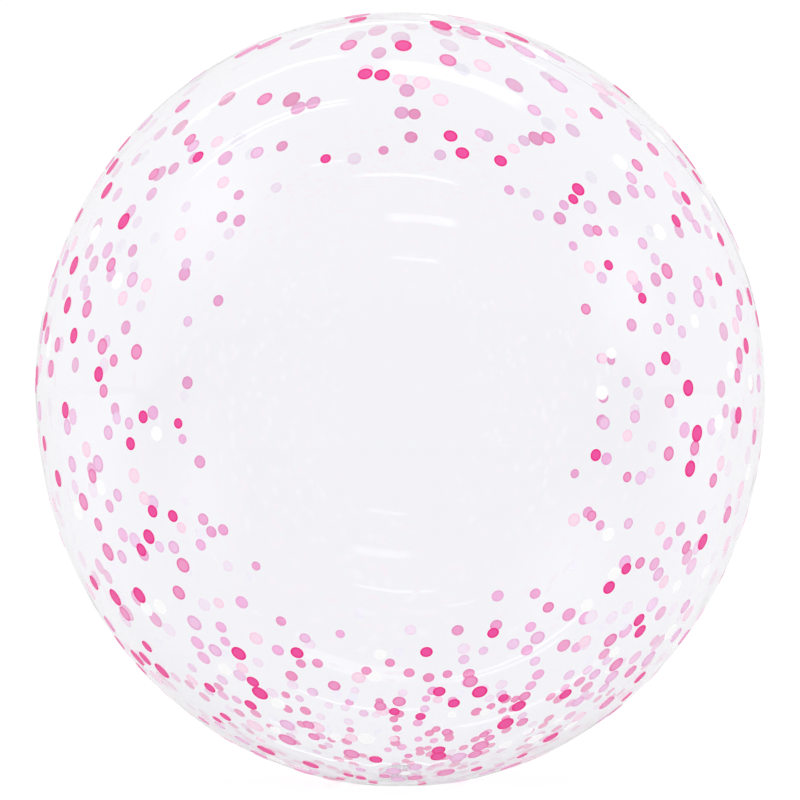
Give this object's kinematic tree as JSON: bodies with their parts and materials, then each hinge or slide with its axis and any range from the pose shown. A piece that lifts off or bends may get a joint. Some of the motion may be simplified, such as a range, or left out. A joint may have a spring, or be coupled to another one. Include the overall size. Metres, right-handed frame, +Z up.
{
  "type": "clear bubble balloon",
  "caption": "Round, air-filled balloon of clear film with confetti dots printed on it, resting on a small flat spot at its tucked-in neck.",
  "frame": {"origin": "on the floor, under the middle of the flat spot that the balloon rests on", "axes": "+Z up along the balloon's axis to its crown, -Y towards the front, which faces the picture's camera, +X to the picture's right"},
  "size_m": [0.577, 0.577, 0.61],
  "materials": {
    "clear_film": "glossy clear plastic film",
    "hot_pink_ink": "glossy printed ink",
    "bubblegum_pink_ink": "glossy printed ink",
    "orchid_ink": "glossy printed ink",
    "blush_ink": "glossy printed ink",
    "white_ink": "glossy printed ink"
  },
  "bodies": {
    "root": {"film_envelope": "clear_film"}
  },
  "joints": []
}
